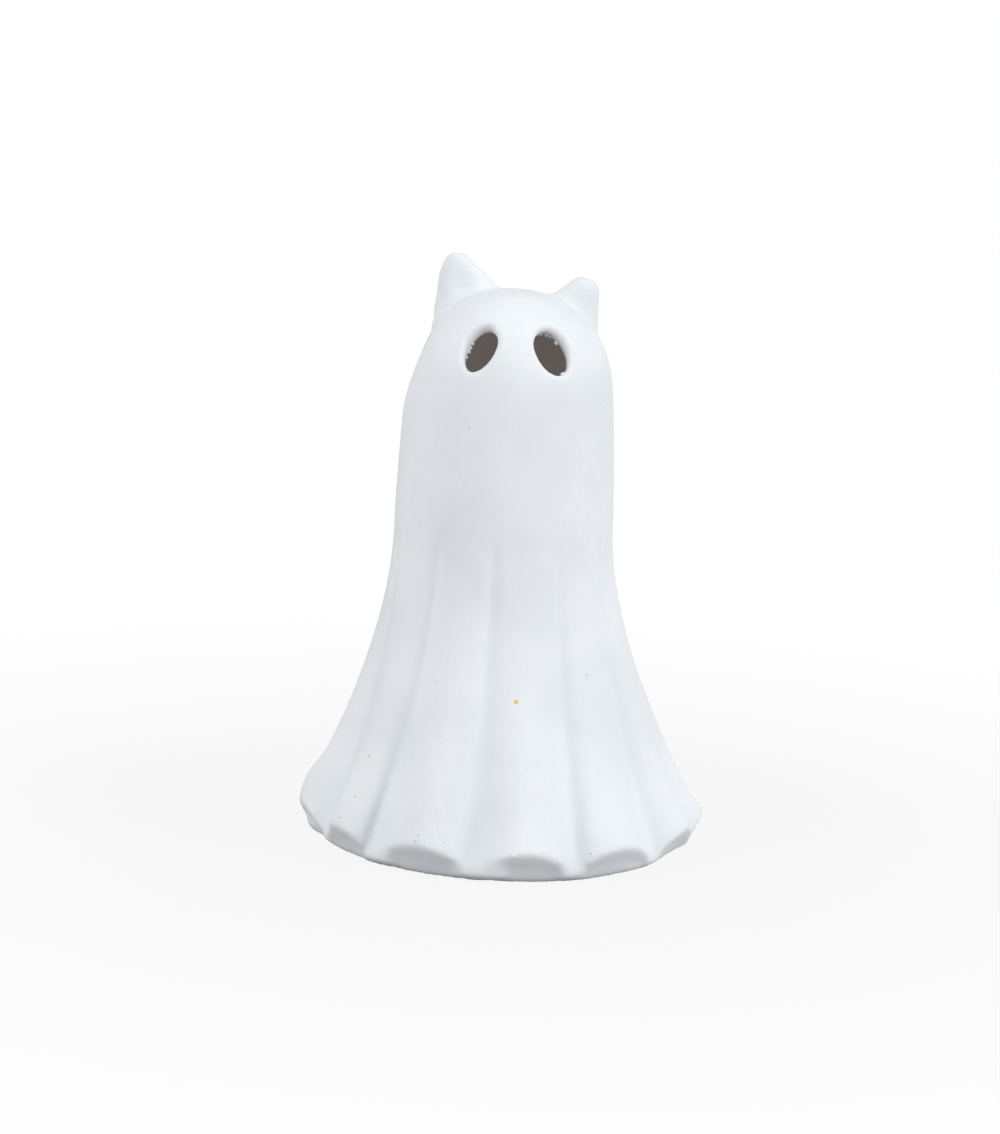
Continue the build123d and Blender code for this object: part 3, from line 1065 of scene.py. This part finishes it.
@dataclass
class CandleCup:
    """Wax-like cup with a soft rim, a dished pool and a hole for the flame."""

    radius: float = 19.4 * MM
    height: float = 17.0 * MM
    draft: float = 0.25 * MM
    rim: float = 1.6 * MM
    pool: float = 1.8 * MM
    hole: float = 5.55 * MM
    deck: float = 1.3 * MM
    bore: float = 17.4 * MM
    seat: float = 18.2 * MM
    ledge: float = 3.3 * MM
    foot_break: float = 0.35 * MM
    wall_levels: tuple[float, ...] = (0.25, 0.5, 0.75, 0.88)
    rim_drop: float = 1.1 * MM
    rim_round: float = 0.8 * MM
    rim_inside: float = 0.05 * MM
    # Radius and height over the pool's lowest level
    slope: tuple[Ring, ...] = (mm(16.6, 0.45), mm(15.2, 0.25))
    floor: tuple[Ring, ...] = (mm(11.5, 0.12), mm(8.5, 0.0))
    lip: Ring = mm(0.3, 0.02)
    lip_drop: float = 0.3 * MM
    segments: int = 144
    wax_wave: float = 0.16 * MM
    wax_start: float = 1 * MM
    finish: MouldedPlastic = MouldedPlastic(
        "wax_white", (0.82, 0.79, 0.72), (0.78, 0.745, 0.67), (0.36, 0.48), 0.02 * MM, 0.25
    )

    def profile(self) -> list[Ring]:
        """Draw the wall from the foot up the outside, over the rim and back down the inside.

        Returns:
            The rings of the wall.
        """
        top, pool = self.height, self.height - self.pool
        waist = self.radius - self.draft
        slope, floor = ([(ring, pool + rise) for ring, rise in knots] for knots in (self.slope, self.floor))
        lip, rise = self.lip
        rings = [(self.seat, 0.0), (self.radius - self.foot_break, 0.0), (self.radius, self.foot_break)]
        rings += [(self.radius - self.draft * share, top * share) for share in self.wall_levels]
        rings += run([(waist, top - self.rim_drop), (waist, top), (waist - self.rim_round, top)], 5)
        rings += run([(self.radius - self.rim, top - self.rim_inside), *slope], 6)
        rings += run([*floor, (self.hole + lip, pool + rise)], 4)
        rings += [(self.hole, pool - self.lip_drop), (self.hole, pool - self.deck)]
        rings += [(self.bore, pool - self.deck), (self.bore, self.ledge), (self.seat, self.ledge)]
        return rings

    def build(self) -> None:
        """Turn the cup, let the wax settle unevenly and dress it."""
        cup = turned("candle_cup_wax", self.profile(), self.segments)
        rows = points_of(cup)
        angle = np.arctan2(rows[:, 1], rows[:, 0])
        out = np.hypot(rows[:, 0], rows[:, 1])
        near_top = np.clip((rows[:, 2] - (self.height - self.pool)) / self.pool, 0, 1)
        wave = np.sin(3 * angle + 0.6) + 0.6 * np.sin(7 * angle + 2.1) + 0.4 * np.sin(11 * angle)
        rows[:, 2] -= near_top * (out > self.hole + self.wax_start) * self.wax_wave * (1 + 0.5 * wave)
        place_points(cup, rows)
        dress(cup, self.finish.material(), "candle_cup", "tealight", 40)


@dataclass
class FlameLens:
    """Hollow frosted flame with a leaning tip and soft moulded waves."""

    foot: float = 12.9 * MM
    deck_bottom: float = 13.9 * MM
    deck_top: float = 15.2 * MM
    tip: float = 35.7 * MM
    root: float = 5.35 * MM
    flange: float = 7.2 * MM
    wall: float = 0.9 * MM
    tip_wall: float = 2.5 * MM
    lean: Point = mm(0.9, -0.3, 0.0)
    belly: float = 0.6
    neck: float = 0.22
    near_tip: float = 0.985
    flange_break: float = 0.2 * MM
    play: float = 0.02 * MM
    wave: float = 0.035
    segments: int = 72

    def side(self, radius: float, tip: float, steps: int) -> list[Ring]:
        """Teardrop side from its foot to close under its tip.

        Args:
            radius: Radius at the foot.
            tip: Height of the tip.
            steps: Number of spans.

        Returns:
            The rings of the side.
        """
        reach = tip - self.deck_top
        belly = (radius, self.deck_top + self.belly * reach)
        neck = (self.neck * radius, tip - self.neck * reach)
        return run([(radius, self.deck_top), belly, neck, (0.0, tip)], steps, self.near_tip)

    def build(self) -> None:
        """Turn the lens, lean its tip and dress it."""
        bore = self.root - self.wall
        hollow_tip = self.tip - self.tip_wall
        ledge = self.deck_bottom - self.play
        rings = [(bore, self.foot), (self.flange - self.flange_break, self.foot)]
        rings += [(self.flange, self.foot + self.flange_break), (self.flange, ledge), (self.root, ledge)]
        rings += self.side(self.root, self.tip, 26)
        rings += [(self.play, self.tip - self.play), (self.play, hollow_tip)]
        rings += self.side(bore, hollow_tip, 18)[::-1]
        lens = turned("flame_lens_frosted", rings, self.segments)
        rows = points_of(lens)
        rise = np.clip((rows[:, 2] - self.deck_top) / (self.tip - self.deck_top), 0, 1)
        angle = np.arctan2(rows[:, 1], rows[:, 0])
        swell = 1 + self.wave * np.sin(np.pi * rise) * np.cos(3 * angle + 2.2 * rise)
        rows[:, :2] *= swell[:, None]
        rows += (rise**2)[:, None] * self.lean
        place_points(lens, rows)
        finish = FrostedLens(foot=self.foot, tip=self.tip)
        dress(lens, finish.material(), "flame_lens", "tealight", 40)


@dataclass
class TealightWorks:
    """Lamp, leads, plate, cell, strips, switch and door, each with its edges broken."""

    edge: float = 0.1 * MM
    fine_edge: float = 0.04 * MM
    plate: MouldedPlastic = MouldedPlastic("plate_white", (0.80, 0.785, 0.745), (0.76, 0.745, 0.70))
    knob: MouldedPlastic = MouldedPlastic(
        "knob_black", (0.035, 0.035, 0.04), (0.022, 0.022, 0.026), (0.44, 0.56)
    )
    steel: BrushedMetal = BrushedMetal(
        "cell_steel", (0.66, 0.66, 0.65), (0.52, 0.52, 0.51), (0.22, 0.38), BrushLines.CIRCULAR
    )
    nickel: BrushedMetal = BrushedMetal(
        "spring_nickel", (0.70, 0.67, 0.62), (0.58, 0.55, 0.50), (0.14, 0.30), BrushLines.STRAIGHT
    )
    tin: BrushedMetal = BrushedMetal(
        "tinned_wire", (0.76, 0.76, 0.76), (0.62, 0.62, 0.62), (0.20, 0.36), BrushLines.STRAIGHT
    )
    flat_angle: float = 1.0
    edge_angle: float = 35

    def build(self) -> None:
        """Model and dress the pieces."""
        plate = self.plate.material()
        nickel = self.nickel.material()
        for node, body, slot, material, edge in (
            ("led_bulb", "tealight", "lamp_clear", ClearLamp().material(), self.edge),
            ("led_leads", "tealight", "tinned_wire", self.tin.material(), self.fine_edge),
            ("base_plate", "tealight", "plate_white", plate, self.edge),
            ("coin_cell", "tealight", "cell_steel", self.steel.material(), self.edge),
            ("positive_contact", "tealight", "spring_nickel", nickel, self.fine_edge),
            ("negative_contact", "tealight", "spring_nickel", nickel, self.fine_edge),
            ("switch_knob", "switch", "knob_black", self.knob.material(), self.edge),
            ("battery_door", "door", "plate_white", plate, self.edge),
        ):
            piece = merged_copy(node, f"{node}_soft")
            with editing(piece):
                bpy.ops.mesh.dissolve_limited(angle_limit=math.radians(self.flat_angle))
            limit = math.radians(self.edge_angle)
            finish_with(piece, "BEVEL", width=edge, segments=2, limit_method="ANGLE", angle_limit=limit)
            dress(piece, material, node, body, self.edge_angle)


class LampKind(Enum):
    """Blender's type of a lamp, and its field for the lamp's size."""

    SQUARE = ("AREA", "size")
    BALL = ("POINT", "shadow_soft_size")


@dataclass(frozen=True)
class Lamp:
    """Soft lamp: where it hangs, its size and its power in watts."""

    name: str
    place: Point
    size: float
    power: float
    kind: LampKind = LampKind.SQUARE


@dataclass
class Studio:
    """Pale floor, soft lamps and a camera at the eye of the photograph."""

    aim: Point = (0.0, 0.0, 0.072)
    distance: float = 0.900
    elevation: float = 11.0
    roll: float = 2.59
    pixel: float = 0.2556 * MM
    slide: tuple[float, float] = (10.4, -6.2)
    picture: tuple[int, int] = (1000, 1134)
    sensor: float = 36.0
    lamps: tuple[Lamp, ...] = (
        Lamp("key", (0.88, -0.40, 0.48), 0.60, 5.85),
        Lamp("fill", (-0.78, -0.56, 0.56), 0.80, 5.05),
        Lamp("top", (0.0, -0.05, 0.95), 0.60, 0.6),
        # Shows the back wall of the hollow through the eyes
        Lamp("inner", mm(-2, -4, 82), 10 * MM, 0.006, LampKind.BALL),
    )
    world_light: float = 0.57
    floor_size: float = 12.0
    floor_tone: Colour = (0.45, 0.45, 0.45)
    floor_glow: float = 0.88
    floor_reach: Range = (0.07, 0.30)

    def build(self) -> None:
        """Set the floor, the background, the lamps and the camera."""
        self.floor()
        self.background()
        for lamp in self.lamps:
            self.hang(lamp)
        self.camera()
        bpy.context.scene.view_settings.view_transform = "Standard"

    def floor(self) -> None:
        """Lay a pale floor that keeps the shadow and stays near white to the camera."""
        bpy.ops.mesh.primitive_plane_add(size=self.floor_size)
        plane = bpy.context.object
        plane.name = "floor"
        nodes = FinishNodes("floor_white")
        nodes.set(Base_Color=self.floor_tone, Roughness=0.9, Specular_IOR_Level=0.1)
        away = nodes.distance_to((0.0, 0.0, 0.0))
        far = nodes.span(away, *self.floor_reach, self.floor_glow, 1.0)
        share = nodes.reckon("MULTIPLY", seen_straight(nodes.tree), far)
        glow = nodes.wired("ShaderNodeEmission", "Emission", {})
        layers = {"Fac": share, 1: nodes.shader.outputs["BSDF"], 2: glow}
        nodes.feed(nodes.output.inputs["Surface"], nodes.wired("ShaderNodeMixShader", "Shader", layers))
        plane.data.materials.append(nodes.material)

    def background(self) -> None:
        """Make the world white to the camera and a soft light to the object."""
        world = bpy.data.worlds.new("studio")
        bpy.context.scene.world = world
        world.use_nodes = True
        tree = world.node_tree
        back = tree.nodes["Background"]
        back.inputs["Color"].default_value = (1.0, 1.0, 1.0, 1.0)
        level = tree.nodes.new("ShaderNodeMapRange")
        level.inputs["To Min"].default_value = self.world_light
        tree.links.new(seen_straight(tree), level.inputs["Value"])
        tree.links.new(level.outputs["Result"], back.inputs["Strength"])

    def hang(self, lamp: Lamp) -> None:
        """Hang a lamp that looks at the figure.

        Args:
            lamp: The lamp.
        """
        kind, size_field = lamp.kind.value
        data = bpy.data.lights.new(lamp.name, kind)
        setattr(data, size_field, lamp.size)
        data.energy = lamp.power
        obj = bpy.data.objects.new(lamp.name, data)
        obj.location = lamp.place
        obj.rotation_euler = (Vector(self.aim) - Vector(lamp.place)).to_track_quat("-Z", "Y").to_euler()
        bpy.context.scene.collection.objects.link(obj)

    def camera(self) -> None:
        """Stand the camera at the photograph's angle."""
        lift = math.radians(self.elevation)
        turn = math.radians(self.roll)
        ahead = Vector((0.0, math.cos(lift), -math.sin(lift)))
        level = Vector((1.0, 0.0, 0.0))
        rise = level.cross(ahead)
        right = level * math.cos(turn) + rise * math.sin(turn)
        up = rise * math.cos(turn) - level * math.sin(turn)
        data = bpy.data.cameras.new("camera")
        data.sensor_width = self.sensor
        data.lens = self.sensor * self.distance / self.pixel / max(self.picture)
        eye = bpy.data.objects.new("camera", data)
        aside, down = (self.pixel * value for value in self.slide)
        place = Vector(self.aim) - right * aside + up * down - ahead * self.distance
        view = Matrix((right, up, -ahead)).transposed().to_4x4()
        eye.matrix_world = Matrix.Translation(place) @ view
        bpy.context.scene.collection.objects.link(eye)
        bpy.context.scene.camera = eye


def main() -> None:
    """Build the ghost, the tealight and the studio."""
    logging.basicConfig(level=logging.INFO, format="%(name)s: %(message)s")
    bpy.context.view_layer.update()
    Ghost().build()
    CandleCup().build()
    FlameLens().build()
    TealightWorks().build()
    Studio().build()


if __name__ == "__main__":
    main()
